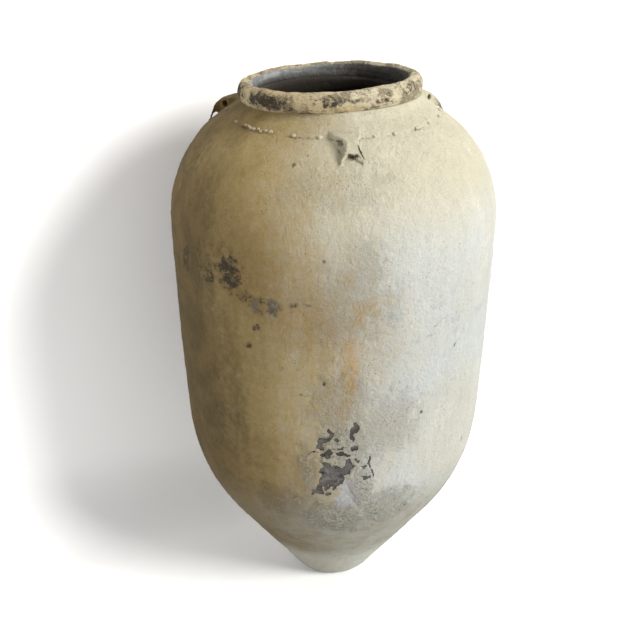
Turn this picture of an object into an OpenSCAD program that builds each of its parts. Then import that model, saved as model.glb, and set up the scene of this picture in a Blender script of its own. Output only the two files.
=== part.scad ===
// Pointed storage jar of coarse fired clay, built up in rings, with three pierced lugs.
// Origin: centre of the flat under the foot. +Z up. -Y is the front. Millimetres.

/* [Wall] */
// Thickness of the fired clay wall, square to the surface
wall = 22; // [14:1:28]
// How much higher each ring joint is inside the jar than outside
joint_rise = 8; // [4:1:14]

/* [Foot] */
// Radius of the flat that the jar stands on
foot_r = 46; // [38:1:56]
// Height of the rounded edge of the foot, where the pad ends
pad_h = 30; // [24:1:40]
// Radius at the top of the pad
pad_r = 75; // [62:1:92]
// Height of the foot ring, the first ring of wall on the pad
foot_ring_h = 65; // [45:1:80]

/* [Body] */
// Largest radius of the body
belly_r = 250; // [205:1:310]
// Height of the straight cone above the pad
cone_h = 110; // [80:1:140]
// How much less than the largest the radius is at the top of the cone
cone_top_in = 84; // [70:1:100]
// Height over which the cone turns into the side
turn_h = 160; // [130:1:200]
// How much less than the largest the radius is at the foot of the side
side_low_in = 19; // [10:1:30]
// Height of the nearly straight side
side_h = 260; // [200:1:320]
// How much less than the largest the radius is at the top of the side
side_high_in = 2; // [0.5:0.5:6]
// Height from the top of the side to the largest radius
belly_h = 60; // [45:1:80]

/* [Shoulder and neck] */
// Height of the round part of the shoulder
shoulder_h = 120; // [95:1:150]
// How much less than the largest the radius is at the top of the round part of the shoulder
shoulder_in = 44; // [34:1:55]
// Height of the sloping part between the shoulder and the pellet line
slope_h = 40; // [34:1:50]
// Radius of the neck just under the rim
neck_r = 133; // [105:1:162]
// How much wider the pellet line is, where the neck is set on
neck_flare = 25; // [16:1:34]
// Height of the curve from the pellet line to the upright neck
neck_curve_h = 17; // [12:1:24]
// Height of the neck above the pellet line, on its axis
neck_h = 20; // [14:1:28]

/* [Rim] */
// How far the middle of the roll stands outside the middle of the neck's wall
rim_out = 5; // [2:0.5:8]
// Width of the roll across the lip
rim_w = 25; // [18:0.5:32]
// Height of the roll
rim_h = 32; // [24:1:42]
// Half the angle of the roll that is flattened where it sits on the neck
rim_seat_angle = 30; // [20:1:40]
// How far the front of the mouth is tipped up, in degrees
tip_front = 2.6; // [0:0.1:4]
// How far the right of the mouth is tipped up, in degrees
tip_right = 2.6; // [0:0.1:4]
// How far the rim is set off the axis, to the left
rim_shift = 5; // [0:0.5:6]

/* [Lugs] */
// Turn of the front lug from the front, anticlockwise from above, in degrees
front_lug_turn = 8; // [-20:1:30]
// Turn of the right lug
right_lug_turn = 126; // [110:1:140]
// Turn of the left lug
left_lug_turn = 248; // [235:1:260]
// Width of a lug where it spreads onto the shoulder
lug_w = 52; // [40:1:60]
// Width of a lug at its waist
lug_waist = 26; // [20:1:34]
// Height of a lug's top above the pellet line
lug_above = 7; // [3:1:10]
// Height from a lug's top down to where it runs out on the shoulder
lug_h = 40; // [34:1:48]
// How far out from the neck a lug's top edge starts to curve down
lug_top_w = 10; // [5:1:15]
// Radius of the cord hole through a lug
cord_hole_r = 5; // [3:0.5:6]
// Clay left between the cord hole and the shoulder
cord_hole_floor = 3; // [2:0.5:5]
// Height of the cord hole below the pellet line
cord_hole_drop = 4; // [0:0.5:8]
// Radius of the thumb press under each lug
thumb_r = 15; // [10:0.5:18]

/* [Pellets] */
// Number of places for clay pellets round the pellet line
pellet_count = 26; // [12:1:36]
// Radius of a clay pellet
pellet_r = 5; // [3:0.5:7]
// How deep the middle of a pellet is pressed below the surface
pellet_sink = 1.5; // [0.5:0.5:3]

/* [Hidden] */
$fn = 96;

// Heights, from the ground up, at which the outline changes its form.
cone_top_z = pad_h + cone_h;
side_low_z = cone_top_z + turn_h;
side_high_z = side_low_z + side_h;
belly_z = side_high_z + belly_h;
shoulder_z = belly_z + shoulder_h;
pellet_z = shoulder_z + slope_h;
neck_curve_z = pellet_z + neck_curve_h;
neck_top_z = pellet_z + neck_h;

// Radii at the same heights.
cone_top_r = belly_r - cone_top_in;
side_low_r = belly_r - side_low_in;
side_high_r = belly_r - side_high_in;
shoulder_r = belly_r - shoulder_in;
neck_base_r = neck_r + neck_flare;
rim_mid_r = neck_r - wall / 2 + rim_out;

// Slopes of the outline: radius gained for each millimetre of height.
foot_slope = 1.45;
cone_slope = (cone_top_r - pad_r) / cone_h;
side_low_slope = 0.085;
side_high_slope = 0.04;
shoulder_slope = ((shoulder_r - belly_r) / shoulder_h + (neck_base_r - shoulder_r) / slope_h) / 2;
neck_base_slope = ((neck_base_r - shoulder_r) / slope_h + (neck_r - neck_base_r) / neck_curve_h) / 2;

// Height, radius and slope at each change of form.
STATIONS = [
  [0, foot_r, foot_slope],
  [pad_h, pad_r, cone_slope],
  [cone_top_z, cone_top_r, cone_slope],
  [side_low_z, side_low_r, side_low_slope],
  [side_high_z, side_high_r, side_high_slope],
  [belly_z, belly_r, 0],
  [shoulder_z, shoulder_r, shoulder_slope],
  [pellet_z, neck_base_r, neck_base_slope],
  [neck_curve_z, neck_r, 0],
  [neck_top_z + 2 * rim_h, neck_r, 0]
];

// Six equal rings of wall stand between the foot ring and the pellet line.
first_joint_z = pad_h + foot_ring_h;
ring_h = (pellet_z - first_joint_z) / 6;
// Points along each face of a ring.
ring_steps = 14;

// A smooth curve from radius a to radius b over height d, with slope sa and sb at its ends.
function blend(t, a, b, sa, sb, d) =
  a * (2 * t^3 - 3 * t^2 + 1) + b * (3 * t^2 - 2 * t^3) + d * (sa * (t^3 - 2 * t^2 + t) + sb * (t^3 - t^2));
function station(z, i = 0) = i >= len(STATIONS) - 2 || z < STATIONS[i + 1][0] ? i : station(z, i + 1);
function outer_r(z) =
  let (i = station(z), a = STATIONS[i], b = STATIONS[i + 1], d = b[0] - a[0])
  blend((z - a[0]) / d, a[1], b[1], a[2], b[2], d);
function outer_slope(z) = outer_r(z + 0.5) - outer_r(z - 0.5);
function outer_point(z) = [outer_r(z), z];
function outward(z) = [1, -outer_slope(z)] / sqrt(1 + outer_slope(z)^2);
function inner_point(z) = outer_point(z) - wall * outward(z);

// The wall between outer heights z0 and z1.
// Each joint face leans, so that the ring above laps over the one below.
function outer_face(z0, z1) = [for (i = [0 : ring_steps]) outer_point(z0 + (z1 - z0) * i / ring_steps)];
function inner_face(z0, z1) = [for (i = [ring_steps : -1 : 0]) inner_point(z0 + (z1 - z0) * i / ring_steps)];
module ring(z0, z1) {
  rotate_extrude() polygon(concat(outer_face(z0, z1), inner_face(z0 + joint_rise, z1 + joint_rise)));
}

module stage(i) {
  ring(first_joint_z + ring_h * i, first_joint_z + ring_h * (i + 1));
}

// Everything drawn inside is placed in the tipped, shifted frame of the mouth.
// Its floor lies on top of the neck.
module at_mouth() {
  translate([-rim_shift, 0, neck_top_z]) rotate([-tip_front, -tip_right, 0]) children();
}

// The neck is drawn taller than it is, and cut off level with the tipped mouth.
neck_blank_z = neck_top_z + rim_h;

// The outer form of the shoulder and neck, filled in: what stands on them is cut back to it.
module filled_top() {
  shoulder_face = outer_face(pellet_z - ring_h, pellet_z);
  neck_face = outer_face(pellet_z, neck_blank_z);
  rotate_extrude($fn = 360)
    polygon(concat([[0, pellet_z - ring_h]], shoulder_face, neck_face, [[0, neck_blank_z]]));
}

// A lug stands on the neck and the shoulder.
// Its outline is a quarter of an ellipse in the plane of the jar's axis.
lug_top_z = pellet_z + lug_above;
lug_low_z = lug_top_z - lug_h;
lug_in_r = outer_r(lug_top_z) + lug_top_w;
lug_out = outer_r(lug_low_z) - lug_in_r;
// The cord hole runs level, square to the jar's axis, just clear of the shoulder.
cord_hole_z = pellet_z - cord_hole_drop;
cord_hole_slope = outer_slope(cord_hole_z);
cord_hole_mid_r = outer_r(cord_hole_z) + (cord_hole_r + cord_hole_floor) * sqrt(1 + cord_hole_slope^2);
pinch_r = 20;

module lug(turn) {
  root_depth = lug_top_w + cord_hole_r;
  outline = [for (a = [0 : 6 : 90]) [lug_in_r + lug_out * cos(a), lug_low_z + lug_h * sin(a)]];
  root = [[lug_in_r - root_depth, lug_top_z], [lug_in_r - root_depth, lug_low_z]];
  rotate([0, 0, turn]) difference() {
    intersection() {
      rotate([0, 0, -90 - 15]) rotate_extrude(angle = 30) polygon(concat(outline, root));
      translate([-lug_w / 2, -2 * belly_r, lug_low_z]) cube([lug_w, 2 * belly_r, lug_h]);
    }
    for (side = [-1, 1])
      translate([side * (lug_waist / 2 + pinch_r), 0, cord_hole_z]) rotate([90, 0, 0])
        cylinder(r = pinch_r, h = 2 * belly_r);
    translate([-lug_w, -cord_hole_mid_r, cord_hole_z]) rotate([0, 90, 0])
      cylinder(r = cord_hole_r, h = 2 * lug_w);
    translate([0, -lug_in_r - lug_out, lug_low_z]) sphere(r = thumb_r);
    filled_top();
  }
}

// Half the angle that a lug takes up on the pellet line, with room for a pellet beside it.
lug_half_angle = asin((lug_waist / 2 + 2 * pellet_r) / neck_base_r);
function turn_between(a, b) = abs((a - b + 540) % 360 - 180);
lug_turns = [front_lug_turn, right_lug_turn, left_lug_turn];
function beside_lug(a) = min([for (lug_turn = lug_turns) turn_between(a, lug_turn)]) > lug_half_angle;

module base_pad() color("#6f6a55") {
  rim = [for (i = [0 : ring_steps]) outer_point(pad_h * i / ring_steps)];
  inside = inner_point(pad_h + joint_rise);
  rotate_extrude() polygon(concat([[0, 0]], rim, [inside, [0, inside[1]]]));
}
module foot_ring() color("#767058") ring(pad_h, first_joint_z);
module cone_ring() color("#9c9475") stage(0);
module turn_ring() color("#a59d7e") stage(1);
module lower_side_ring() color("#b3aa8a") stage(2);
module middle_side_ring() color("#bcb394") stage(3);
module upper_side_ring() color("#c0b899") stage(4);
module shoulder_ring() color("#bdb495") stage(5);
module neck_collar() color("#b5ab8b") difference() {
  ring(pellet_z, neck_blank_z);
  at_mouth() cylinder(r = 2 * neck_base_r, h = 3 * rim_h);
}
module rim_roll() color("#a99e80") {
  first = rim_seat_angle - 90;
  roll = [for (i = [0 : 24]) let (a = first + (360 - 2 * rim_seat_angle) * i / 24)
    [rim_mid_r + rim_w / 2 * cos(a), rim_h / 2 * (sin(a) - sin(first))]];
  at_mouth() rotate_extrude() polygon(roll);
}
module lug_front() color("#b8ae8d") lug(front_lug_turn);
module lug_right() color("#b8ae8d") lug(right_lug_turn);
module lug_left() color("#b8ae8d") lug(left_lug_turn);
module seam_pellets() color("#c4bb9d") difference() {
  middle = outer_point(pellet_z) - pellet_sink * outward(pellet_z);
  lean = atan2(outward(pellet_z)[0], outward(pellet_z)[1]);
  turns = [for (i = [0 : pellet_count - 1]) (i + 0.5) * 360 / pellet_count];
  for (turn = turns)
    if (beside_lug(turn))
      rotate([0, 0, turn]) translate([0, -middle[0], middle[1]]) rotate([lean, 0, 0]) sphere(r = pellet_r);
  filled_top();
}

base_pad();
foot_ring();
cone_ring();
turn_ring();
lower_side_ring();
middle_side_ring();
upper_side_ring();
shoulder_ring();
neck_collar();
rim_roll();
lug_front();
lug_right();
lug_left();
seam_pellets();
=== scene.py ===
"""Pointed storage jar of coarse fired clay, weathered, on a pale floor under soft studio light.

Turns are in degrees round the jar's axis, 0 at the front (-Y) and growing to the right (+X).
Heights are above the floor. Lengths are in metres.
"""
import math

import bpy
import numpy as np
from mathutils import Matrix, Vector


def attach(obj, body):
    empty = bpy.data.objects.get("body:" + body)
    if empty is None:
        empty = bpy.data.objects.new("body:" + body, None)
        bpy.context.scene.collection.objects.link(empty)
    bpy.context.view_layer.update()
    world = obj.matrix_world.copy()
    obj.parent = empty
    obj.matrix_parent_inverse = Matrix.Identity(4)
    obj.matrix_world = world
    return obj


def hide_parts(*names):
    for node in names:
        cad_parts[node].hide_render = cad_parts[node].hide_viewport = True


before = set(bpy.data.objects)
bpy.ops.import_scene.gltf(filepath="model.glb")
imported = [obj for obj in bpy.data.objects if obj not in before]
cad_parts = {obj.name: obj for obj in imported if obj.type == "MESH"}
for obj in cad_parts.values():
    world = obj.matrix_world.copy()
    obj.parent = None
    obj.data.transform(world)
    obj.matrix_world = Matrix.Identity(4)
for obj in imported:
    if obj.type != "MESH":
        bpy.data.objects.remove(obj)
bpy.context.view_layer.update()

# ---------------------------------------------------------------- form of the jar

# Height, radius and slope of the outer face wherever the form changes.
STATIONS = np.array([
    (0.000, 0.046, 1.45),
    (0.030, 0.075, 0.83),
    (0.140, 0.166, 0.83),
    (0.300, 0.231, 0.085),
    (0.560, 0.248, 0.04),
    (0.620, 0.250, 0.0),
    (0.740, 0.206, -0.80),
    (0.780, 0.158, -1.35),
    (0.800, 0.134, -0.35),
    (0.812, 0.133, 0.0),
    (0.900, 0.133, 0.0),
])
WALL = 0.022
JOINT_RISE = 0.008
PELLET_Z = 0.780
FIRST_JOINT_Z = 0.095
PAD_Z = 0.030
RING_H = (PELLET_Z - FIRST_JOINT_Z) / 6
COLUMNS = 1024
ROW = 0.0015
INNER_ROW = 0.008

# The thin scored line under the pellets, a faint coil mark on the side, and the side away from the light,
# browned by soil and darkened by painted shade.
SCORE_Z = 0.7765
SCORE_DEPTH = 0.0007
COIL_Z = 0.562
COIL_HEIGHT = 0.0013
SHADE_TURN = -95

# Layers of unevenness from the potter's hands, from broad to fine: depth, scale in cycles a metre, and seed.
UNEVEN = ((0.0011, 5.5, 11), (0.0006, (7, 7, 24), 12), (0.00045, 45, 13), (0.00035, 130, 14))
FLAKE_DEPTH = 0.0012

# The mouth is tipped up at its front and right, and set a little to the left. Its plane crosses the axis at
# NECK_TOP_Z, and the neck has its own radius from NECK_Z up. The roll on it has a radius, width and height.
TIP_FRONT = math.radians(2.6)
TIP_RIGHT = math.radians(2.6)
MOUTH_SHIFT = -0.005
NECK_TOP_Z = 0.800
NECK_Z = 0.805
RIM_R = 0.127
RIM_W = 0.025
RIM_H = 0.032


def smooth(edge0, edge1, x):
    """Runs smoothly from 0 to 1 as x goes from edge0 to edge1."""
    t = np.clip((x - edge0) / (edge1 - edge0), 0, 1)
    return t * t * (3 - 2 * t)


def outer_radius(z):
    """Radius of the outer face at height z, on a smooth curve through the stations."""
    z = np.asarray(z, float)
    i = np.clip(np.searchsorted(STATIONS[:, 0], z, side="right") - 1, 0, len(STATIONS) - 2)
    a, b = STATIONS[i], STATIONS[i + 1]
    d = b[..., 0] - a[..., 0]
    t = (z - a[..., 0]) / d
    ends = a[..., 1] * (2 * t**3 - 3 * t**2 + 1) + b[..., 1] * (3 * t**2 - 2 * t**3)
    return ends + d * (a[..., 2] * (t**3 - 2 * t**2 + t) + b[..., 2] * (t**3 - t**2))


def outward(z):
    """How far out and how far up a step of 1 square to the outer face goes, at height z."""
    slope = (outer_radius(z + 5e-4) - outer_radius(z - 5e-4)) / 1e-3
    length = np.sqrt(1 + slope**2)
    return 1 / length, -slope / length


# ---------------------------------------------------------------- noise

def hashed(ix, iy, iz, seed):
    """A fixed scrambled whole number for each cell of a grid."""
    h = (ix * np.int64(73856093)) ^ (iy * np.int64(19349663)) ^ (iz * np.int64(83492791))
    h = (h ^ np.int64(seed * 2654435)) * np.int64(1274126177)
    h = (h ^ (h >> 15)) * np.int64(2246822519)
    return (h ^ (h >> 13)) & np.int64(0xFFFFFF)


def noise(points, scale, seed=0):
    """Smooth noise from about -1 to 1. Scale is in cycles a metre, one number or one for each axis."""
    p = points * np.asarray(scale, float)
    cell = np.floor(p).astype(np.int64)
    f = (p - cell).astype(np.float32)
    w = f * f * f * (f * (f * 6 - 15) + 10)
    total = np.zeros(len(p), np.float32)
    for dx in (0, 1):
        for dy in (0, 1):
            for dz in (0, 1):
                h = hashed(cell[:, 0] + dx, cell[:, 1] + dy, cell[:, 2] + dz, seed)
                slope = sum(
                    (f[:, k] - (dx, dy, dz)[k]) * (((h >> 8 * k) & 255).astype(np.float32) / 127.5 - 1)
                    for k in range(3)
                )
                share = (w[:, 0] if dx else 1 - w[:, 0]) * (w[:, 1] if dy else 1 - w[:, 1])
                total += slope * share * (w[:, 2] if dz else 1 - w[:, 2])
    return total * 1.7


# ---------------------------------------------------------------- weathering and painted shade

def spot(turn, z, mark, ragged):
    """1 in the middle of a mark and 0 outside it, with a soft edge pushed about by ragged."""
    at_turn, at_z, half_w, half_h, lean = mark
    radius = 0.24
    across = np.radians((turn - at_turn + 180) % 360 - 180) * radius
    up = z - at_z
    c, s = math.cos(math.radians(lean)), math.sin(math.radians(lean))
    a = (across * c + up * s) / half_w
    b = (up * c - across * s) / half_h
    return 1 - smooth(0.45, 1.25, np.sqrt(a * a + b * b) + ragged)


def spots(turn, z, marks, ragged):
    total = np.zeros(len(turn))
    for *mark, strength in marks:
        total = np.maximum(total, strength * spot(turn, z, mark, ragged))
    return total


# Each mark on the wall is turn, height, half width, half height, lean and strength.
LICHEN_AND_SHADE = [
    (-61, 0.584, 0.013, 0.030, 0, 0.85), (-47, 0.574, 0.016, 0.020, 0, 0.75),
    (-37, 0.588, 0.026, 0.030, 0, 1.0), (-50, 0.590, 0.060, 0.030, 5, 0.45),
    (-31, 0.560, 0.020, 0.016, 0, 0.55), (-40, 0.620, 0.040, 0.025, 0, 0.35),
    (-24, 0.545, 0.030, 0.022, 0, 0.5), (-27, 0.511, 0.012, 0.008, 0, 0.8),
    (-30, 0.480, 0.006, 0.008, 0, 0.7), (-12, 0.454, 0.004, 0.004, 0, 0.7),
    (-3, 0.433, 0.003, 0.004, 0, 0.7), (-18, 0.452, 0.006, 0.006, 0, 0.6),
    (-11, 0.412, 0.004, 0.004, 0, 0.7), (-8, 0.556, 0.006, 0.004, 0, 0.9),
    (-13, 0.556, 0.008, 0.004, 0, 0.6), (-3, 0.624, 0.003, 0.003, 0, 0.8),
    (-9, 0.635, 0.002, 0.003, 0, 0.7), (61, 0.283, 0.004, 0.008, 0, 0.8),
    (34, 0.368, 0.003, 0.003, 0, 0.8), (33, 0.198, 0.003, 0.003, 0, 0.8),
    (11, 0.610, 0.024, 0.030, 0, 0.10), (-16, 0.747, 0.004, 0.003, 0, 0.9),
    (-11, 0.758, 0.003, 0.002, 0, 0.8), (-15, 0.231, 0.006, 0.006, 20, 0.35),
    # The two marks on the next line and the first mark on the line after it are painted shade at the front
    # lug: a shadow line along its right leg, the shade in its thumb press, and the shade at the mouth of its
    # cord hole.
    (11.6, 0.764, 0.0025, 0.014, 28, 1.1), (8.2, 0.7590, 0.015, 0.0060, 0, 1.1),
    (3.2, 0.768, 0.010, 0.012, 0, 0.35), (4, 0.725, 0.010, 0.012, 0, 0.12),
    (30, 0.590, 0.020, 0.012, 0, 0.12), (12, 0.650, 0.016, 0.010, 0, 0.15),
    (35, 0.492, 0.012, 0.003, 8, 0.55), (49, 0.466, 0.012, 0.003, 40, 0.6),
    (39, 0.509, 0.010, 0.002, 35, 0.45),
    # On the back.
    (150, 0.600, 0.040, 0.030, 10, 0.7), (205, 0.520, 0.050, 0.040, -10, 0.7),
    (100, 0.420, 0.020, 0.030, 0, 0.6), (-110, 0.560, 0.050, 0.030, 5, 0.7),
    (-140, 0.620, 0.020, 0.030, 0, 0.7), (175, 0.300, 0.030, 0.020, 0, 0.6),
]
RUST = [
    (10, 0.549, 0.024, 0.034, 0, 0.9), (6, 0.590, 0.016, 0.030, 0, 0.45),
    (5, 0.455, 0.022, 0.060, 0, 0.75), (7, 0.490, 0.030, 0.020, 0, 0.5), (3, 0.395, 0.014, 0.040, 0, 0.7),
    (17, 0.560, 0.034, 0.016, 0, 0.4), (-8, 0.540, 0.040, 0.030, 0, 0.35),
    (-38, 0.650, 0.060, 0.050, 0, 0.45), (-20, 0.400, 0.050, 0.060, 0, 0.25),
    (-30, 0.300, 0.060, 0.050, 0, 0.25), (-55, 0.700, 0.050, 0.040, 0, 0.5),
    (40, 0.640, 0.050, 0.050, 0, 0.2), (55, 0.430, 0.050, 0.060, 0, 0.15),
    # On the back.
    (170, 0.500, 0.030, 0.090, 0, 0.6), (-150, 0.430, 0.040, 0.060, 0, 0.4),
]
GREY = [
    (-27, 0.541, 0.005, 0.020, 3, 0.7), (-21.5, 0.542, 0.008, 0.024, -4, 0.85),
    (-20, 0.553, 0.012, 0.009, 0, 0.6), (-30, 0.534, 0.006, 0.010, 0, 0.3),
    (5.5, 0.235, 0.022, 0.028, 8, 0.55), (-12, 0.556, 0.018, 0.006, 0, 0.35),
]
CHALK = [
    (39, 0.537, 0.024, 0.008, 10, 0.4), (47, 0.510, 0.026, 0.010, -10, 0.4),
    (50, 0.482, 0.020, 0.010, 8, 0.4), (32, 0.487, 0.024, 0.008, 0, 0.3),
    (63, 0.498, 0.020, 0.012, 0, 0.4), (21, 0.533, 0.018, 0.007, 0, 0.35),
    (12, 0.470, 0.040, 0.050, 0, 0.2), (28, 0.400, 0.060, 0.030, 0, 0.25),
    (5.5, 0.236, 0.024, 0.030, 0, 1.25), (25, 0.330, 0.050, 0.020, 0, 0.2),
    (45, 0.560, 0.040, 0.014, 4, 0.25), (36, 0.450, 0.030, 0.012, -6, 0.25),
    # On the back.
    (130, 0.480, 0.060, 0.040, 12, 0.4), (-175, 0.600, 0.060, 0.030, -8, 0.3),
    (-125, 0.380, 0.050, 0.030, 0, 0.2),
]
FLAKES = [
    (8.2, 0.359, 0.0042, 0.014, -16, 1.0), (6.9, 0.345, 0.0040, 0.010, -12, 1.0),
    (-0.9, 0.347, 0.0042, 0.012, -6, 1.0), (-2.8, 0.337, 0.0105, 0.0050, 12, 1.0),
    (-4.4, 0.331, 0.0045, 0.006, 0, 1.0), (1.8, 0.339, 0.003, 0.004, 0, 1.0),
    (-2.0, 0.317, 0.0110, 0.0060, 8, 1.0), (-6.8, 0.3195, 0.012, 0.0013, 4, 1.0),
    (4.2, 0.315, 0.0105, 0.0042, -14, 1.0), (8.2, 0.323, 0.0065, 0.0055, 20, 1.0),
    (2.6, 0.323, 0.010, 0.0012, 0, 0.9), (6.6, 0.303, 0.005, 0.0035, 0, 1.0),
    (-2.4, 0.293, 0.006, 0.010, 30, 1.0), (-0.6, 0.284, 0.016, 0.009, -8, 1.0),
    (3.8, 0.284, 0.016, 0.010, 16, 1.0), (5.8, 0.295, 0.008, 0.009, 30, 1.0),
    (-2.0, 0.271, 0.016, 0.012, 0, 1.0), (2.0, 0.272, 0.014, 0.010, 0, 1.0),
    (0.9, 0.259, 0.0045, 0.009, 0, 1.0), (-4.8, 0.258, 0.005, 0.013, -10, 1.0),
    (-2.4, 0.256, 0.005, 0.009, 14, 1.0), (-7.0, 0.2445, 0.008, 0.0035, 20, 1.0),
    (-4.6, 0.245, 0.006, 0.005, 0, 1.0), (-1.6, 0.242, 0.009, 0.004, 10, 0.95),
    (13.8, 0.297, 0.0025, 0.013, -4, 1.0), (14.3, 0.277, 0.002, 0.009, 6, 0.95),
    (11.6, 0.291, 0.004, 0.003, 0, 0.9), (12.2, 0.268, 0.004, 0.003, 0, 0.9),
    (9.6, 0.301, 0.003, 0.005, 0, 0.9),
    # On the back.
    (140, 0.330, 0.014, 0.010, 20, 1.0), (146, 0.312, 0.010, 0.008, 0, 1.0),
    (-118, 0.300, 0.012, 0.018, 0, 1.0), (-113, 0.270, 0.008, 0.010, 0, 1.0),
    (-168, 0.400, 0.010, 0.014, 30, 1.0),
]
CRUST = [
    (12, 0.250, 0.020, 0.044, 5, 1.0), (18, 0.200, 0.020, 0.030, 20, 0.8),
    (8, 0.320, 0.036, 0.040, 0, 0.65), (-9, 0.290, 0.022, 0.040, 0, 0.7),
    (0, 0.190, 0.070, 0.040, 0, 0.85), (24, 0.210, 0.060, 0.040, 0, 0.7),
    (-20, 0.220, 0.060, 0.040, 0, 0.5), (12, 0.610, 0.034, 0.050, 0, 0.4),
    (3, 0.315, 0.030, 0.050, 0, 1.0), (3, 0.400, 0.050, 0.060, 0, 0.5), (20, 0.360, 0.060, 0.060, 0, 0.4),
    (5, 0.560, 0.080, 0.060, 0, 0.35), (2, 0.720, 0.100, 0.030, 0, 0.3),
    # On the back.
    (160, 0.260, 0.080, 0.060, 0, 0.6), (-130, 0.240, 0.080, 0.050, 0, 0.5),
]


def score_line(points, z, width):
    """1 along the wavering line scored under the pellets, falling to 0 beside it."""
    return np.exp(-(((z - SCORE_Z - 0.0006 * noise(points, 12, 17)) / width) ** 2))


def weather_and_shade(points, turn, z):
    """How much of each kind of weathering and painted shade there is at each point, as columns of two colour
    attributes.

    The first holds lichen (with a few marks of painted shade by the front lug), rust, smear (0.5 is none, 1
    is dark and 0 is pale) and flake. The second holds brown (partly earth stain, partly painted shade on the
    side away from the light), crust, foot and inside, which is 0 here and is filled in by paint.
    """
    ragged = 0.34 * noise(points, 50, 41) + 0.26 * noise(points, 120, 42)
    torn = 0.30 * noise(points, 100, 43) + 0.34 * noise(points, 230, 44)
    pulled = turn + 1.5 * noise(points, 75, 51) + 0.5 * noise(points, 200, 52)
    lifted = z + 0.0055 * noise(points, 75, 53) + 0.0020 * noise(points, 200, 54)
    broad = noise(points, 3.2, 45)
    flow = noise(points, (26, 26, 4), 48)
    dark = spots(turn, z, GREY, ragged + 0.7 * noise(points, (120, 120, 14), 49))
    chalk = spots(turn, z, CHALK, ragged + 0.4 * noise(points, (16, 16, 120), 50))
    smear = 0.5 + 0.5 * (dark - chalk)
    grown_score = 0.8 * score_line(points, z, 0.0013) * smooth(-0.5, 0.3, noise(points, 30, 55))
    lichen = np.maximum(spots(turn, z, LICHEN_AND_SHADE, ragged), grown_score)
    rust = spots(turn, z, RUST, 0.8 * ragged + 0.5 * flow)
    flake = spots(pulled, lifted, FLAKES, torn - 0.06)
    # Brown grows towards SHADE_TURN, the side away from the light: partly soil and partly painted shade, with
    # less of it near the top.
    side = np.cos(np.radians(turn - SHADE_TURN))
    brown = 0.5 + 0.5 * side + 0.08 * broad + 0.04 * flow + 0.05 * noise(points, (9, 9, 3), 46)
    brown = np.clip(brown - 0.12 * smooth(0.60, 0.76, z), 0, 1)
    crust = spots(turn, z, CRUST, ragged)
    foot = 1 - smooth(0.155, 0.265, z + 0.016 * broad + 0.010 * noise(points, 14, 47))
    return np.stack([lichen, rust, smear, flake], 1), np.stack([brown, crust, foot, np.zeros(len(z))], 1)


def relief(points, z, first, second):
    """How far the hand-built outer face stands out from its true form."""
    flake, crust = first[:, 3], second[:, 1]
    out = sum(depth * noise(points, scale, seed) for depth, scale, seed in UNEVEN)
    out = out - FLAKE_DEPTH * smooth(0.4, 0.6, flake)
    lumps = np.maximum(0, noise(points, 110, 15)) + np.maximum(0, noise(points, 240, 16))
    out = out + (0.0003 + 0.0010 * crust) * lumps
    out = out - SCORE_DEPTH * score_line(points, z, 0.0012)
    coil = np.exp(-(((z - COIL_Z - 0.004 * noise(points, 4, 18)) / 0.007) ** 2))
    coil = coil * smooth(-0.4, 0.6, noise(points, 5, 19))
    return out + COIL_HEIGHT * coil


# ---------------------------------------------------------------- mesh building

def on_jar(turn, r, z):
    """Points at a turn, radius and height."""
    a = np.radians(turn)
    return np.stack([r * np.sin(a), -r * np.cos(a), z], -1)


def tube_piece(name, rows, outside_rows, material):
    """A closed ring of clay from rows of points. The first outside_rows rows are its outer face."""
    n, cols = rows.shape[:2]
    mesh = bpy.data.meshes.new(name)
    j, i = np.meshgrid(np.arange(n), np.arange(cols), indexing="ij")
    j1, i1 = (j + 1) % n, (i + 1) % cols
    quads = np.stack([j * cols + i, j * cols + i1, j1 * cols + i1, j1 * cols + i], -1).reshape(-1, 4)
    fill_mesh(mesh, rows.reshape(-1, 3), quads)
    sharpen(mesh, cols, (0, outside_rows - 1))
    uv = bake_map(n, cols, outside_rows, j.ravel(), i.ravel())
    layer = mesh.uv_layers.new(name="OFBake")
    layer.data.foreach_set("uv", uv.astype(np.float32).ravel())
    return finish_piece(name, mesh, material)


def sharpen(mesh, cols, rows):
    """Marks the edges along the given rows as sharp, so that each face of a ring is shaded by itself."""
    ends = np.empty(len(mesh.edges) * 2, np.int32)
    mesh.edges.foreach_get("vertices", ends)
    row = ends.reshape(-1, 2) // cols
    sharp = (row[:, 0] == row[:, 1]) & np.isin(row[:, 0], rows)
    mesh.edges.foreach_set("use_edge_sharp", sharp)


def bake_map(n, cols, outside_rows, j, i):
    """The outer face in four quarters, one above the other, and the rest in a fifth strip."""
    strips, margin = 5, 0.01
    quarter = cols // 4
    strip = np.where(j < outside_rows - 1, i // quarter, 4)
    u0 = np.where(strip < 4, (i % quarter) / quarter, i / cols)
    u1 = np.where(strip < 4, (i % quarter + 1) / quarter, (i + 1) / cols)
    last = n - outside_rows + 1
    v0 = np.where(strip < 4, j / (outside_rows - 1), (j - outside_rows + 1) / last)
    v1 = np.where(strip < 4, (j + 1) / (outside_rows - 1), (j - outside_rows + 2) / last)
    u0, u1 = margin + u0 * (1 - 2 * margin), margin + u1 * (1 - 2 * margin)
    v0, v1 = ((strip + margin + v * (1 - 2 * margin)) / strips for v in (v0, v1))
    corners = ((u0, v0), (u1, v0), (u1, v1), (u0, v1))
    return np.stack([np.stack(corner, -1) for corner in corners], 1)


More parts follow.
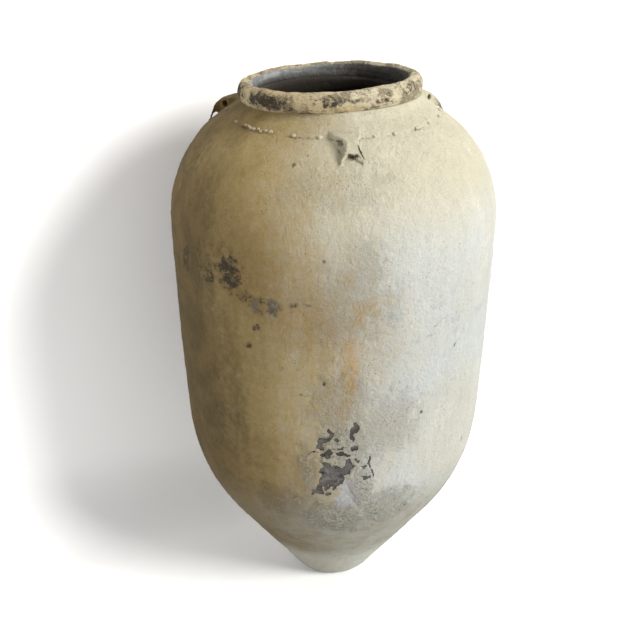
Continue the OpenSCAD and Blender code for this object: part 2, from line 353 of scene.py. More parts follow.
def fill_mesh(mesh, points, quads):
    """Gives an empty mesh its points and its smooth four-sided faces."""
    mesh.vertices.add(len(points))
    mesh.vertices.foreach_set("co", points.astype(np.float32).ravel())
    mesh.loops.add(quads.size)
    mesh.loops.foreach_set("vertex_index", quads.astype(np.int32).ravel())
    mesh.polygons.add(len(quads))
    mesh.polygons.foreach_set("loop_start", np.arange(0, quads.size, 4, dtype=np.int32))
    mesh.polygons.foreach_set("use_smooth", np.ones(len(quads), bool))
    mesh.update(calc_edges=True)


def finish_piece(name, mesh, material):
    mesh.validate()
    piece = bpy.data.objects.new(name, mesh)
    bpy.context.collection.objects.link(piece)
    mesh.materials.append(material)
    return piece


def paint(piece, first, second, inside):
    """Stores the weathering and painted shade on the piece's points, with inside in the last column."""
    second = second.copy()
    second[:, 3] = inside
    for label, values in (("wear_and_shade_a", first), ("wear_and_shade_b", second)):
        layer = piece.data.attributes.new(label, "FLOAT_COLOR", "POINT")
        layer.data.foreach_set("color", values.astype(np.float32).ravel())


def dress(piece, node):
    """Puts a piece in place of its CAD node."""
    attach(piece, "root")
    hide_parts(node)


# ---------------------------------------------------------------- material

class Graph:
    """Short names for the shader nodes of one material."""

    def __init__(self, name):
        self.material = bpy.data.materials.new(name)
        self.material.use_nodes = True
        self.tree = self.material.node_tree
        self.shader = self.tree.nodes["Principled BSDF"]
        self.position = self.add("ShaderNodeTexCoord").outputs["Object"]

    def add(self, kind, inputs=(), **settings):
        node = self.tree.nodes.new(kind)
        for key, value in settings.items():
            setattr(node, key, value)
        for key, value in dict(inputs).items():
            self.feed(node.inputs[key], value)
        return node

    def feed(self, socket, value):
        if isinstance(value, bpy.types.NodeSocket):
            self.tree.links.new(value, socket)
        else:
            socket.default_value = value

    def math(self, operation, a, b):
        return self.add("ShaderNodeMath", {0: a, 1: b}, operation=operation).outputs[0]

    def mul(self, a, b):
        return self.math("MULTIPLY", a, b)

    def plus(self, a, b):
        return self.math("ADD", a, b)

    def centred(self, noise):
        return self.plus(noise, -0.5)

    def step(self, value, low, high, to_low=0.0, to_high=1.0):
        """Runs smoothly from to_low to to_high as the value goes from low to high."""
        inputs = {"Value": value, "From Min": low, "From Max": high, "To Min": to_low, "To Max": to_high}
        return self.add("ShaderNodeMapRange", inputs, interpolation_type="SMOOTHSTEP").outputs["Result"]

    def mix(self, share, a, b):
        """Colour a, with share of it replaced by colour b."""
        node = self.add("ShaderNodeMix", data_type="RGBA")
        for socket, value in zip((node.inputs[0], node.inputs[6], node.inputs[7]), (share, a, b)):
            self.feed(socket, value if isinstance(value, (bpy.types.NodeSocket, float)) else (*value, 1))
        return node.outputs[2]

    def scaled(self, factors):
        node = self.add("ShaderNodeVectorMath", {0: self.position, 1: factors}, operation="MULTIPLY")
        return node.outputs[0]

    def noise(self, scale, detail, roughness, stretch=None, warp=0.0):
        inputs = {
            "Vector": self.scaled(stretch) if stretch else self.position,
            "Scale": scale,
            "Detail": detail,
            "Roughness": roughness,
            "Distortion": warp,
        }
        return self.add("ShaderNodeTexNoise", inputs).outputs[0]

    def cells(self, scale):
        return self.add("ShaderNodeTexVoronoi", {"Vector": self.position, "Scale": scale}).outputs["Distance"]

    def attribute(self, name):
        node = self.add("ShaderNodeAttribute", attribute_name=name)
        split = self.add("ShaderNodeSeparateColor", {"Color": node.outputs["Color"]})
        return [split.outputs[0], split.outputs[1], split.outputs[2], node.outputs["Alpha"]]

    def tint(self, colour, amount):
        """Lightens or darkens a colour: amount 1 leaves it as it is."""
        scale = self.add("ShaderNodeCombineXYZ", {"X": amount, "Y": amount, "Z": amount}).outputs[0]
        return self.add("ShaderNodeVectorMath", {0: colour, 1: scale}, operation="MULTIPLY").outputs[0]


# Colours as linear light: the coat, the soil, painted shade and rust on it, bare clay, the foot, the inside
# with its painted shade, and the rim.
PALE = (0.350, 0.366, 0.355)
TAN = (0.345, 0.342, 0.300)
TOP_CREAM = (0.350, 0.325, 0.240)
OCHRE = (0.250, 0.190, 0.080)
OCHRE_DEEP = (0.190, 0.132, 0.052)
BROWN = (0.104, 0.071, 0.026)
DEEP = (0.073, 0.051, 0.020)
CREAM = (0.47, 0.455, 0.385)
SLATE = (0.075, 0.078, 0.072)
DUST = (0.283, 0.290, 0.305)
RUSTY = (0.300, 0.205, 0.090)
BARE = (0.062, 0.055, 0.050)
BARE_LILAC = (0.125, 0.117, 0.113)
BARE_RIM = (0.032, 0.027, 0.022)
PORE = (0.090, 0.076, 0.048)
SOOT = (0.024, 0.019, 0.014)
FOOT = (0.225, 0.223, 0.185)
FOOT_BROWN = (0.145, 0.118, 0.074)
FOOT_PALE = (0.330, 0.325, 0.285)
INNER = (0.135, 0.138, 0.135)
INNER_CHALK = (0.30, 0.32, 0.32)
INNER_SHADE = (0.018, 0.014, 0.010)
RIM_CREAM = (0.395, 0.335, 0.210)
RIM_BROWN = (0.115, 0.088, 0.055)


class Clay(Graph):
    """Low-fired clay under a thin worn coat of lime. Most methods lay one kind of wear over a coat, and some
    also lay painted shade.
    """

    def __init__(self, name):
        super().__init__(name)
        self.lichen, self.rust, self.smear, self.flake = self.attribute("wear_and_shade_a")
        self.brown, self.crust, self.foot, self.inside = self.attribute("wear_and_shade_b")
        place = self.add("ShaderNodeSeparateXYZ", {"Vector": self.position}).outputs
        self.x, self.z = place["X"], place["Z"]
        self.broad = self.noise(5, 4, 0.55)
        self.patches = self.noise(26, 5, 0.6)
        self.streaks = self.noise(46, 5, 0.65, stretch=(1, 1, 0.10))
        self.mottle = self.noise(95, 5, 0.65)
        self.blisters = self.noise(210, 5, 0.75)
        self.grain = self.noise(300, 4, 0.75)
        self.grit = self.noise(900, 2, 0.6)
        # The shade mask: brown, partly soil and partly painted shade, broken up by streaks and mottle.
        shade = self.plus(self.brown, self.mul(self.centred(self.streaks), 0.24))
        self.shade = self.plus(shade, self.mul(self.centred(self.mottle), 0.30))

    def lime(self):
        """The coat of lime, creamier at the top, turning ochre and then brown towards the side away from the
        light: partly earth stain, partly painted shade.
        """
        coat = self.mix(self.step(self.broad, 0.36, 0.64), TAN, PALE)
        coat = self.mix(self.step(self.z, 0.58, 0.74, 0.0, 0.9), coat, TOP_CREAM)
        coat = self.mix(self.mul(self.step(self.patches, 0.52, 0.74), 0.25), coat, CREAM)
        ochre = self.mix(self.step(self.broad, 0.36, 0.64), OCHRE_DEEP, OCHRE)
        # Ochre and then brown laid on along the shade mask: partly soil, partly painted shade.
        coat = self.mix(self.step(self.shade, 0.18, 0.68), coat, ochre)
        soil_and_shade = self.mix(self.step(self.patches, 0.35, 0.65), BROWN, DEEP)
        return self.mix(self.step(self.shade, 0.56, 0.92), coat, soil_and_shade)

    def rust_runs(self, coat):
        broken = self.step(self.plus(self.streaks, self.mul(self.mottle, 0.4)), 0.45, 0.85, 0.25, 0.95)
        # On the shade side the runs turn brown, as painted shade.
        runs = self.mix(self.step(self.shade, 0.45, 0.85), RUSTY, BROWN)
        return self.mix(self.mul(self.step(self.rust, 0.05, 1.0), broken), coat, runs)

    def damp_foot(self, coat):
        """The darker grey-green clay low down, browned with painted shade on the side away from the light,
        and paler where it meets the ground, painted as light bounced up from the floor.
        """
        lower = self.mix(self.mul(self.step(self.patches, 0.46, 0.66), 0.45), FOOT, FOOT_BROWN)
        # Browner on the shade side: painted shade.
        lower = self.mix(self.mul(self.step(self.shade, 0.45, 0.85), 0.75), lower, BROWN)
        height = self.plus(self.z, self.mul(self.patches, 0.03))
        # Paler just above the ground: painted light bounced up from the floor.
        lower = self.mix(self.step(height, 0.105, 0.065), lower, FOOT_PALE)
        return self.mix(self.mul(self.foot, 0.85), coat, lower)

    def smears(self, coat):
        smear = self.mul(self.smear, 1.1)
        dark = self.step(self.plus(smear, self.mul(self.centred(self.blisters), 0.9)), 0.68, 0.96)
        coat = self.mix(self.mul(dark, 0.75), coat, SLATE)
        pale = self.step(self.plus(smear, self.mul(self.centred(self.mottle), 0.7)), 0.46, 0.22)
        return self.mix(self.mul(pale, 0.7), coat, DUST)

    def crumbs(self, coat):
        pale = self.step(self.plus(self.mul(self.crust, 0.26), self.blisters), 0.66, 0.78)
        return self.mix(self.mul(pale, self.mul(self.crust, 0.50)), coat, CREAM)

    def worn_rim(self, coat):
        """The rim's creamy coat, worn through to brown clay, with sooty cracks."""
        coat = self.mix(self.step(self.shade, 0.45, 0.95, 0.45, 0.75), coat, RIM_CREAM)
        bare = self.noise(36, 6, 0.75, warp=0.5)
        worn = self.plus(self.mul(bare, 0.70), self.mul(self.blisters, 0.30))
        coat = self.mix(self.step(worn, 0.47, 0.54, 0.0, 0.75), coat, RIM_BROWN)
        cracks = self.noise(110, 5, 0.8, stretch=(0.5, 0.5, 1.6), warp=0.8)
        return self.mix(self.step(cracks, 0.45, 0.38, 0.0, 0.85), coat, SOOT)

    def pores(self, coat):
        pores = self.mul(self.step(self.noise(270, 3, 0.6), 0.455, 0.40), self.step(self.crust, 0.30, 0.95))
        return self.mix(self.mul(pores, 0.50), coat, PORE)

    def flaked(self, coat):
        """Bare grey clay where the coat has flaked off, darker along the broken edge."""
        wipes = self.noise(22, 4, 0.6, stretch=(0.3, 0.3, 3.0))
        edge = self.plus(self.flake, self.mul(self.centred(self.blisters), 0.60))
        wiped = self.step(self.plus(self.mul(wipes, 0.6), self.mul(self.mottle, 0.4)), 0.42, 0.58)
        bare = self.mix(self.step(edge, 0.52, 0.86), BARE_RIM, self.mix(wiped, BARE, BARE_LILAC))
        return self.mix(self.step(edge, 0.43, 0.49), coat, bare)

    def overgrown(self, coat):
        """Brown haze and black lichen, and scattered dirt in the pocks. The same masks lay the painted shade
        at the front lug.
        """
        broken = self.plus(self.mul(self.mottle, 0.32), self.mul(self.blisters, 0.38))
        reach = self.plus(self.plus(self.mul(self.lichen, 0.18), broken), self.mul(self.grain, 0.32))
        growth = self.mul(self.step(reach, 0.60, 0.70), self.step(self.lichen, 0.02, 0.30))
        haze = self.mul(self.step(self.lichen, 0.05, 0.9), self.step(self.mottle, 0.35, 0.65, 0.15, 0.55))
        coat = self.mix(haze, coat, DEEP)
        dots = self.mul(self.step(self.cells(150), 0.19, 0.11), self.step(self.patches, 0.50, 0.62))
        pocks = self.plus(self.mul(self.mottle, 0.35), self.mul(self.blisters, 0.65))
        pocks = self.step(pocks, 0.335, 0.275)
        dirt = self.math("MAXIMUM", self.mul(dots, 0.55), self.mul(pocks, 0.60))
        return self.mix(self.math("MAXIMUM", self.mul(growth, 0.92), dirt), coat, SOOT)

    def inner_wall(self):
        """The wiped inside, chalky on the left of the mouth, with painted shade on its right and further
        down.
        """
        strokes = self.noise(40, 4, 0.65, stretch=(0.25, 0.25, 4.5))
        chalk = self.step(self.plus(self.mul(strokes, 0.6), self.mul(self.mottle, 0.4)), 0.47, 0.60)
        inner = self.mix(self.mul(chalk, 0.55), INNER, INNER_CHALK)
        # Painted shade on the right of the mouth, away from the light, and deeper down the neck.
        right = self.mul(self.plus(self.x, 0.02), 6.0)
        right = self.step(self.plus(right, self.mul(self.centred(self.mottle), 1.2)), -0.35, 0.45, 0.0, 0.9)
        dark = self.math("MAXIMUM", right, self.step(self.z, 0.820, 0.798))
        return self.mix(dark, inner, INNER_SHADE)

    def tone(self):
        """Fine lightening and darkening of the whole surface, lighter towards the top."""
        tone = self.plus(0.49, self.mul(self.grain, 0.34))
        tone = self.plus(tone, self.mul(self.grit, 0.12))
        tone = self.plus(tone, self.mul(self.streaks, 0.30))
        tone = self.plus(tone, self.mul(self.mottle, 0.24))
        return self.mul(tone, self.step(self.z, 0.45, 0.76, 1.22, 1.47))

    def roughened(self):
        """The fine unevenness of the surface, coarser where it is crusted."""
        pits = self.step(self.cells(230), 0.10, 0.22)
        crusted = self.mul(self.blisters, self.plus(self.mul(self.crust, 2.0), 0.6))
        height = self.mul(self.grain, self.plus(self.mul(self.crust, 0.9), 0.35))
        height = self.plus(height, self.mul(self.grit, 0.25))
        height = self.plus(height, self.mul(crusted, 1.2))
        height = self.plus(height, self.mul(self.mottle, 0.9))
        height = self.plus(height, self.mul(pits, 0.25))
        height = self.plus(height, self.mul(self.streaks, 0.35))
        return self.add("ShaderNodeBump", {"Height": height, "Strength": 1.0, "Distance": 0.0034}).outputs[0]


def clay(name, rim=False, limed=False):
    """The clay of one kind of piece. The rim has lost more of its coat, and limed clay is pale."""
    g = Clay(name)
    coat = g.damp_foot(g.rust_runs(g.lime()))
    coat = g.crumbs(g.smears(coat))
    if rim:
        coat = g.worn_rim(coat)
    if limed:
        coat = g.mix(0.35, coat, CREAM)
    coat = g.overgrown(g.flaked(g.pores(coat)))
    coat = g.mix(g.inside, coat, g.inner_wall())
    g.feed(g.shader.inputs["Base Color"], g.tint(coat, g.tone()))
    g.feed(g.shader.inputs["Roughness"], g.step(g.mottle, 0.3, 0.7, 0.82, 0.95))
    g.feed(g.shader.inputs["Specular IOR Level"], 0.22)
    g.feed(g.shader.inputs["Normal"], g.roughened())
    return g.material


# ---------------------------------------------------------------- pieces

TURNS = np.arange(COLUMNS) * 360 / COLUMNS


def outer_face(z):
    """The worn outer face, its weathering and its painted shade, for rows of heights with one height for each
    column.
    """
    turn, flat_z = np.tile(TURNS, len(z)), z.ravel()
    base = on_jar(turn, outer_radius(flat_z), flat_z)
    first, second = weather_and_shade(base, turn, flat_z)
    nr, nz = outward(flat_z)
    d = relief(base, flat_z, first, second)
    return on_jar(turn, outer_radius(flat_z) + d * nr, flat_z + d * nz).reshape(z.shape + (3,)), first, second


def inner_face(z):
    """The wiped inner face, square in from the outer face at the given heights."""
    turn, flat_z = np.tile(TURNS, len(z)), z.ravel()
    nr, nz = outward(flat_z)
    base = on_jar(turn, outer_radius(flat_z) - WALL * nr, flat_z - WALL * nz)
    d = WALL + 0.0012 * noise(base, (9, 9, 40), 31) + 0.0005 * noise(base, (30, 30, 160), 32)
    return on_jar(turn, outer_radius(flat_z) - d * nr, flat_z - d * nz).reshape(z.shape + (3,))


def level(heights):
    """Rows of level heights."""
    return np.repeat(np.asarray(heights, float)[:, None], COLUMNS, 1)


def build_tube(node, face, inner, material):
    """A piece from its outer face with its weathering and painted shade, and the rows of points of its inner
    face.
    """
    outer, first, second = face
    rows = np.concatenate([outer, inner])
    piece = tube_piece("clay_" + node, rows, len(outer), material)
    clean = np.zeros((len(inner) * COLUMNS, 4))
    first, second = np.concatenate([first, clean + (0, 0, 0.5, 0)]), np.concatenate([second, clean])
    paint(piece, first, second, np.repeat(np.arange(len(rows)) >= len(outer), COLUMNS))
    dress(piece, node)


def wall_ring(node, z0, z1, material):
    face = outer_face(level(np.linspace(z0, z1, round((z1 - z0) / ROW))))
    inner = inner_face(level(np.linspace(z1, z0, round((z1 - z0) / INNER_ROW)) + JOINT_RISE))
    build_tube(node, face, inner, material)


def mouth_height(r):
    """Height of the tipped plane on top of the neck, at radius r, for each column."""
    a = np.radians(TURNS)
    front, right = r * np.cos(a), r * np.sin(a) - MOUTH_SHIFT
    return NECK_TOP_Z + math.tan(TIP_FRONT) * front + math.tan(TIP_RIGHT) * right


# Radius and height of the rings of points under the pad, from the middle out, and on top of it, going in.
PAD_UNDER = (
    (0.001, 0.0016), (0.010, 0.0014), (0.020, 0.0012), (0.030, 0.0010), (0.042, 0.0004), (0.0455, 0.0012),
)
PAD_TOP = ((0.055, PAD_Z + 0.008), (0.030, PAD_Z + 0.008), (0.001, PAD_Z + 0.008))
PAD_WORN_Z = 0.003


def base_pad(material):
    """The clay disc that the jar stands on, with a worn edge and a slightly rough underside."""
    outer, first, second = outer_face(level(np.linspace(PAD_WORN_Z, PAD_Z, 20)))
    flat = np.zeros(COLUMNS)
    under = [on_jar(TURNS, r, z + 0.0003 * noise(on_jar(TURNS, r, flat), 60, 33)) for r, z in PAD_UNDER]
    top = [on_jar(TURNS, r, z + flat) for r, z in PAD_TOP]
    ground = [np.repeat(rows[:COLUMNS][None], len(under), 0).reshape(-1, 4) for rows in (first, second)]
    first, second = np.concatenate([ground[0], first]), np.concatenate([ground[1], second])
    face = np.concatenate([under, outer]), first, second
    build_tube("base_pad", face, np.array(top), material)


# Clay smeared from the neck onto the roll inside the mouth: how far out from the neck's inner face, and up.
NECK_SMEAR = ((0.0100, 0.0040), (0.0085, 0.0105), (0.0042, 0.0085), (0.0015, 0.0045), (0.0004, 0.0018))


def neck_collar(material):
    """The neck, from the scored line up to the tipped plane that the rim sits on."""
    neck_r = outer_radius(NECK_Z)
    top = mouth_height(neck_r)
    face = outer_face(PELLET_Z + np.linspace(0, 1, 18)[:, None] * (top - PELLET_Z))
    top = mouth_height(neck_r - WALL)
    low = PELLET_Z + JOINT_RISE
    inner = inner_face(low + np.linspace(1, 0, 12)[:, None] * (top - low))
    tucked = [on_jar(TURNS, neck_r - WALL + out, top + up) for out, up in NECK_SMEAR]
    build_tube("neck_collar", face, np.concatenate([tucked, inner]), material)


# Each dark mark on the rim is turn, angle round the roll, half turn, half angle and strength. Angle 0 faces
# out, and 90 faces up.
RIM_DARK = [
    (-43, 5, 20, 48, 1.0), (3, 15, 9, 40, 0.9), (20, 10, 10, 20, 0.6), (32, -5, 7, 14, 0.9),
    (57, 25, 13, 34, 0.7), (-80, 15, 20, 60, 0.9), (3, 118, 36, 7, 0.7),
    # On the back.
    (110, 20, 16, 40, 0.8), (160, 30, 14, 40, 0.8), (-140, 10, 22, 40, 0.9),
]


# Half of the angle that the roll's seat on the neck takes up, and the rows of points round its other faces.
SEAT_ANGLE = math.radians(30)
ROLL_ROWS = 76
# How deep the roll is chipped, and how deep, where and how wide the crease on the inner side of the lip is.
CHIP_DEPTH = 0.0011
CREASE_DEPTH = 0.0006
CREASE_ANGLE = 118
CREASE_W = 9


def at_mouth(turn, r, z):
    """Points at a turn, radius and height in the frame of the tipped mouth."""
    x, y = r * np.sin(np.radians(turn)), -r * np.cos(np.radians(turn))
    flat = np.stack([x, y, z], -1)
    turned = np.array(Matrix.Rotation(-TIP_RIGHT, 3, "Y") @ Matrix.Rotation(-TIP_FRONT, 3, "X"))
    return flat @ turned.T + np.array([MOUTH_SHIFT, 0, NECK_TOP_Z])


def rim_roll(material):
    """The roll of clay round the mouth, uneven, chipped and creased."""
    first_angle = SEAT_ANGLE - math.pi / 2
    around = np.linspace(first_angle, first_angle + 2 * math.pi - 2 * SEAT_ANGLE, ROLL_ROWS)
    rows, angles = [], []
    for a in around:
        r = RIM_R + RIM_W / 2 * math.cos(a)
        z = RIM_H / 2 * (math.sin(a) - math.sin(first_angle))
        base = at_mouth(TURNS, np.full(COLUMNS, r), np.full(COLUMNS, z))
        d = 0.0016 * noise(base, 14, 51) + 0.0009 * noise(base, 38, 52) + 0.0005 * noise(base, 110, 53)
        crease = math.exp(-((math.degrees(a) - CREASE_ANGLE) / CREASE_W) ** 2)
        d = d - CHIP_DEPTH * smooth(0.25, 0.55, noise(base, 48, 54)) - CREASE_DEPTH * crease
        d = d * smooth(0, 0.35, min(a - first_angle, around[-1] - a))
        rows.append(at_mouth(TURNS, r + d * math.cos(a), z + d * math.sin(a)))
        angles.append(math.degrees(a))
    rows = np.array(rows)
    piece = tube_piece("clay_rim_roll", rows, len(rows), material)
    flat = rows.reshape(-1, 3)
    turn, angle = np.tile(TURNS, len(rows)), np.repeat(angles, COLUMNS)
    first, second = weather_and_shade(flat, turn, flat[:, 2])
    # The underside of the roll is browner: painted shade under the rim.
    second[:, 0] = np.clip(second[:, 0] + 0.30 * (1 - smooth(-35, 25, angle)), 0, 1)
    ragged = 0.35 * noise(flat, 60, 55) + 0.3 * noise(flat, 140, 56)
    dark = np.zeros(len(flat))
    for at_turn, at_angle, half_turn, half_angle, strength in RIM_DARK:
        u = ((turn - at_turn + 180) % 360 - 180) / half_turn
        v = (angle - at_angle) / half_angle
        dark = np.maximum(dark, strength * (1 - smooth(0.5, 1.2, np.sqrt(u * u + v * v) + ragged)))
    first[:, 0] = dark
    paint(piece, first, second, smooth(112, 135, angle))
    dress(piece, "rim_roll")


def surface_net(values, origin, step):
    """Points and quads of the surface where a grid of signed distances is zero.

    Each cell that the surface passes through has one point, in the middle of where its edges are crossed.
    """
    inside = values < 0
    cells = tuple(n - 1 for n in values.shape)
    total, count = np.zeros(cells + (3,)), np.zeros(cells)
    for axis in range(3):
        near = np.moveaxis(values, axis, 0)
        a, b = near[:-1], near[1:]
        cross = (a < 0) != (b < 0)
        part = np.where(cross, a / np.where(cross, a - b, 1), 0)
        cross, part = np.moveaxis(cross, 0, axis), np.moveaxis(part, 0, axis)
        others = [k for k in range(3) if k != axis]
        for u in (0, 1):
            for v in (0, 1):
                cut = [slice(0, cells[k]) for k in range(3)]
                cut[others[0]] = slice(u, u + cells[others[0]])
                cut[others[1]] = slice(v, v + cells[others[1]])
                hit = cross[tuple(cut)]
                total[..., axis] += np.where(hit, part[tuple(cut)], 0)
                total[..., others[0]] += hit * u
                total[..., others[1]] += hit * v
                count += hit
    used = count > 0
    index = np.full(cells, -1)
    index[used] = np.arange(used.sum())
    points = (np.argwhere(used) + total[used] / count[used][:, None]) * step + origin
    quads = []
    for axis in range(3):
        u, v = [(1, 2), (2, 0), (0, 1)][axis]
        low, high = [slice(1, -1)] * 3, [slice(1, -1)] * 3
        low[axis], high[axis] = slice(0, -1), slice(1, None)
        a, b = inside[tuple(low)], inside[tuple(high)]
        at = np.argwhere(a != b)
        at[:, u] += 1
        at[:, v] += 1
        corner = []
        for du, dv in ((1, 1), (0, 1), (0, 0), (1, 0)):
            cell = at.copy()
            cell[:, u] -= du
            cell[:, v] -= dv
            corner.append(index[cell[:, 0], cell[:, 1], cell[:, 2]])
        quad = np.stack(corner, 1)
        flip = ~a[a != b]
        quad[flip] = quad[flip][:, ::-1]
        quads.append(quad)
    return points, np.concatenate(quads)


def blend_min(a, b, k):
    h = np.clip(0.5 + 0.5 * (b - a) / k, 0, 1)
    return b * (1 - h) + a * h - k * h * (1 - h)


def blend_max(a, b, k):
    return -blend_min(-a, -b, k)


# The box of the grid that a lug is worked out on, in the lug's own frame of across, out and up.
LUG_STEP = 0.0008
LUG_CORNER = np.array([-0.044, 0.134, 0.736])
LUG_CELLS = (110, 96, 76)
# Outline of a lug seen from its side: radius and height, from the neck over the crest to the shoulder.
LUG_R = (0.146, 0.168, 0.1805, 0.1875, 0.1935, 0.1960, 0.1985, 0.1990)
LUG_Z = (0.7850, 0.7850, 0.7830, 0.7785, 0.7725, 0.7665, 0.755, 0.748)
# How far a lug reaches across to its deeply pinched side and to its other side, at those places.
LUG_PINCHED = (0.0300, 0.0230, 0.0120, 0.0070, 0.0090, 0.0135, 0.0190, 0.0215)
LUG_FULL = (0.0170, 0.0150, 0.0110, 0.0090, 0.0110, 0.0150, 0.0225, 0.0250)
# The cord hole runs across, a little askew.
HOLE_OUT = 0.1760
HOLE_Z = 0.7745
HOLE_R = 0.0048
HOLE_SKEW_OUT = 0.04
HOLE_SKEW_Z = 0.05
# The thumb press under the crest: its middle, its half sizes across, out and up, and how deep it is.
THUMB_OUT = 0.203
THUMB_Z = 0.7500
THUMB_SIZE = (0.0145, 0.0230, 0.0115)
THUMB_DEPTH = 0.0120
# How deep the clay of a lug reaches into the wall, and how thick its smeared edge is.
LUG_ROOT = 0.0030
LUG_SMEAR = 0.0007


def lug(node, turn, material, pinched, thumb, seed):
    """A lug pinched from one lump, smeared onto the shoulder, pierced for a cord and pressed by a thumb.

    Its deeply pinched side is to the left where pinched is -1 and to the right where it is 1. The thumb
    pressed it as far across as thumb says.
    """
    cells = np.stack(np.meshgrid(*(np.arange(n) for n in LUG_CELLS), indexing="ij"), -1).reshape(-1, 3)
    grid = cells * LUG_STEP + LUG_CORNER
    x, out, z = grid.T
    rough = 0.0009 * noise(grid, 55, seed) + 0.0006 * noise(grid, 160, seed + 1)
    crest = np.interp(-z, [-v for v in LUG_Z[1:]], LUG_R[1:])
    over = np.interp(out, LUG_R, LUG_Z)
    cover = np.where((out > crest) & (z < LUG_Z[1]), (out - crest) * 0.8, z - over)
    near, far = np.interp(out, LUG_R, LUG_PINCHED), np.interp(out, LUG_R, LUG_FULL)
    side = (np.abs(x) - np.where(x * pinched > 0, near, far)) * 0.85
    body = blend_max(cover, side, 0.003) + rough
    hole = np.hypot(out - HOLE_OUT - HOLE_SKEW_OUT * x, z - HOLE_Z + HOLE_SKEW_Z * x) - HOLE_R
    wide, long, high = THUMB_SIZE
    press = ((x - thumb) / wide) ** 2 + ((out - THUMB_OUT) / long) ** 2 + ((z - THUMB_Z) / high) ** 2
    body = blend_max(body, (1 - np.sqrt(press)) * THUMB_DEPTH, 0.0015)
    r = np.hypot(x, out)
    at_turn = turn + np.degrees(np.arctan2(x, out))
    base = on_jar(at_turn, outer_radius(z), z)
    nr = outward(z)[0]
    wall = (r - outer_radius(z)) * nr - relief(base, z, *weather_and_shade(base, at_turn, z))
    solid = blend_min(body, wall + LUG_SMEAR, 0.004)
    solid = blend_max(solid, -hole, 0.0012)
    solid = np.maximum(solid, -(wall + LUG_ROOT))
    solid = np.maximum(solid, body - 0.008)
    points, quads = surface_net(solid.reshape(LUG_CELLS), LUG_CORNER, LUG_STEP)
    a = math.radians(turn)
    across, away, height = points.T
    to_right, to_back = across * math.cos(a) + away * math.sin(a), across * math.sin(a) - away * math.cos(a)
    world = np.stack([to_right, to_back, height], 1)
    mesh = bpy.data.meshes.new(node)
    fill_mesh(mesh, world, quads)
    piece = finish_piece("clay_" + node, mesh, material)
    first, second = weather_and_shade(world, turn + np.degrees(np.arctan2(across, away)), world[:, 2])
    paint(piece, first, second, np.zeros(len(world)))
    dress(piece, node)


# Turn and radius of each clay pellet.
PELLETS = [
    (-62.6, 0.0034), (-53, 0.0024), (-50, 0.0026), (-47.5, 0.0030), (-45.1, 0.0034), (-42.5, 0.0028),
    (-40, 0.0024), (-37.5, 0.0026), (-34, 0.0034), (-20.4, 0.0040), (-6.8, 0.0042), (21.2, 0.0028),
    (32.6, 0.0034), (48, 0.0026), (60.4, 0.0032), (76, 0.0030), (87.8, 0.0034), (102, 0.0032),
    (145, 0.0034), (159, 0.0030), (173, 0.0036), (187, 0.0030), (201, 0.0034), (215, 0.0036),
    (229, 0.0030), (270, 0.0034),
]


# A pellet's half width across, half depth and half height, as shares of its radius.
PELLET_SHAPE = (0.85, 0.72, 0.76)


def pellets(material):
    """Small irregular lumps pressed onto the scored line."""
    sides, rings = 20, 12
    rng = np.random.default_rng(7)
    a, b = np.meshgrid(np.arange(sides) * 2 * math.pi / sides, np.linspace(0.001, math.pi - 0.001, rings))
    ball = np.stack([np.cos(a) * np.sin(b), np.sin(a) * np.sin(b), np.cos(b)], -1).reshape(-1, 3)
    points, quads = [], []
    j, i = np.meshgrid(np.arange(rings - 1), np.arange(sides), indexing="ij")
    i1 = (i + 1) % sides
    quad = np.stack([j * sides + i, (j + 1) * sides + i, (j + 1) * sides + i1, j * sides + i1], -1)
    for k, (turn, radius) in enumerate(PELLETS):
        z = SCORE_Z + 0.0016 + rng.uniform(-0.0012, 0.0012)
        nr, nz = outward(z)
        lump = ball * (1 + 0.22 * noise(ball, 1.3, 60 + k))[:, None] * radius * PELLET_SHAPE
        centre = on_jar(turn, outer_radius(z) + 0.0008 * nr, z + 0.0008 * nz)
        quads.append(quad.reshape(-1, 4) + len(ball) * k)
        points.append(lump + centre)
    points = np.concatenate(points)
    mesh = bpy.data.meshes.new("pellets")
    fill_mesh(mesh, points, np.concatenate(quads))
    piece = finish_piece("clay_seam_pellets", mesh, material)
    turn = np.degrees(np.arctan2(points[:, 0], -points[:, 1]))
    first, second = weather_and_shade(points, turn, points[:, 2])
    paint(piece, first, second, np.zeros(len(points)))
    dress(piece, "seam_pellets")


body_clay = clay("body_clay")
rim_clay = clay("rim_clay", rim=True)
RINGS = ["cone_ring", "turn_ring", "lower_side_ring", "middle_side_ring", "upper_side_ring", "shoulder_ring"]
base_pad(body_clay)
wall_ring("foot_ring", PAD_Z, FIRST_JOINT_Z, body_clay)
for k, node in enumerate(RINGS):
    wall_ring(node, FIRST_JOINT_Z + RING_H * k, FIRST_JOINT_Z + RING_H * (k + 1), body_clay)
neck_collar(body_clay)
rim_roll(rim_clay)
lug("lug_front", 8, body_clay, -1, 0.0, 70)
lug("lug_right", 126, body_clay, 1, -0.003, 75)
lug("lug_left", 248, body_clay, -1, 0.002, 80)
pellets(clay("pellet_clay", limed=True))

# ---------------------------------------------------------------- floor, light and camera


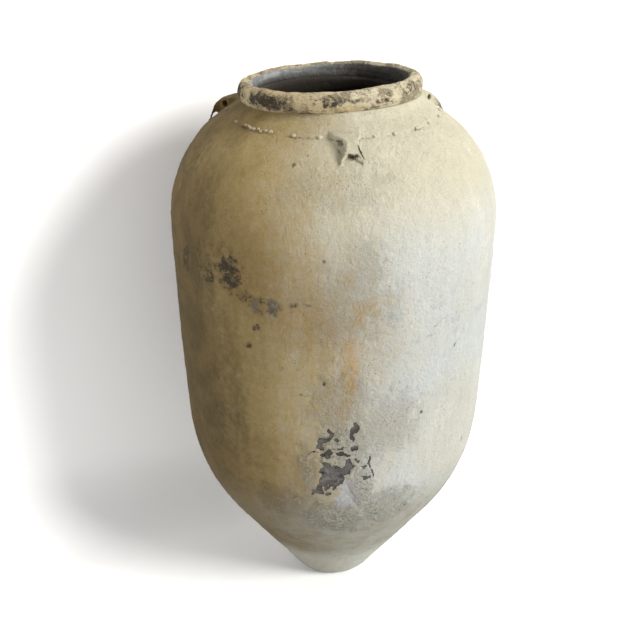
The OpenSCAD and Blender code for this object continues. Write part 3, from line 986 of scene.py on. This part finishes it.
def sweep(turn, back):
    """A pale floor that curves up into a backdrop, back metres behind the jar's axis and turned about it."""
    bend, half_width, top, front = 0.12, 7.0, 4.0, 9.0
    steps = 16
    angles = [math.pi / 2 * k / steps for k in range(steps + 1)]
    profile = [(-front, 0.0)]
    profile += [(back - bend + bend * math.sin(a), bend - bend * math.cos(a)) for a in angles]
    profile.append((back, top))
    c, s = math.cos(math.radians(turn)), math.sin(math.radians(turn))
    points = []
    for side in (-half_width, half_width):
        points += [(side * c - away * s, side * s + away * c, height) for away, height in profile]
    n = len(profile)
    faces = [(k, k + n, k + n + 1, k + 1) for k in range(n - 1)]
    mesh = bpy.data.meshes.new("floor")
    mesh.from_pydata(points, [], faces)
    mesh.polygons.foreach_set("use_smooth", [True] * len(faces))
    mesh.materials.append(pale_floor())
    floor = bpy.data.objects.new("floor", mesh)
    bpy.context.collection.objects.link(floor)


def pale_floor():
    """Matt white that glows a little. It is clear from behind, so that it doesn't hide the jar's back."""
    material = bpy.data.materials.new("pale_floor")
    material.use_nodes = True
    tree = material.node_tree
    shader = tree.nodes["Principled BSDF"]
    shader.inputs["Base Color"].default_value = (0.86, 0.86, 0.86, 1)
    shader.inputs["Roughness"].default_value = 0.95
    shader.inputs["Emission Color"].default_value = (1, 1, 1, 1)
    shader.inputs["Emission Strength"].default_value = 0.12
    clear = tree.nodes.new("ShaderNodeBsdfTransparent")
    either = tree.nodes.new("ShaderNodeMixShader")
    rear = tree.nodes.new("ShaderNodeNewGeometry").outputs["Backfacing"]
    tree.links.new(rear, either.inputs[0])
    tree.links.new(shader.outputs[0], either.inputs[1])
    tree.links.new(clear.outputs[0], either.inputs[2])
    tree.links.new(either.outputs[0], tree.nodes["Material Output"].inputs["Surface"])
    return material


def window_light(turn, elevation, spread, strength, colour):
    """A wide soft light far away, spread degrees across."""
    a, e = math.radians(turn), math.radians(elevation)
    away = Vector((math.sin(a) * math.cos(e), -math.cos(a) * math.cos(e), math.sin(e)))
    data = bpy.data.lights.new("window", "SUN")
    data.angle = math.radians(spread)
    data.energy = strength
    data.color = colour
    light = bpy.data.objects.new("window", data)
    light.rotation_mode = "QUATERNION"
    light.rotation_quaternion = away.to_track_quat("Z", "Y")
    bpy.context.collection.objects.link(light)


def soft_air(colour, strength):
    """Even light from all round."""
    world = bpy.data.worlds.new("studio")
    bpy.context.scene.world = world
    world.use_nodes = True
    background = world.node_tree.nodes["Background"].inputs
    background["Color"].default_value = colour
    background["Strength"].default_value = strength


def camera(place, down, pan, lens):
    """A camera that looks down degrees below level, turned pan degrees to the left."""
    data = bpy.data.cameras.new("camera")
    data.sensor_width = 36
    data.lens = lens
    view = bpy.data.objects.new("camera", data)
    view.location = place
    view.rotation_euler = (math.pi / 2 - math.radians(down), 0, math.radians(pan))
    bpy.context.collection.objects.link(view)
    bpy.context.scene.camera = view


sweep(turn=24, back=0.285)
window_light(turn=60, elevation=27, spread=24, strength=4.2, colour=(1.0, 0.99, 0.97))
soft_air(colour=(1.0, 0.98, 0.96, 1), strength=0.42)
camera(place=(0, -2.3, 1.36), down=21.885, pan=0.515, lens=87.57)
bpy.context.scene.view_settings.view_transform = "Standard"
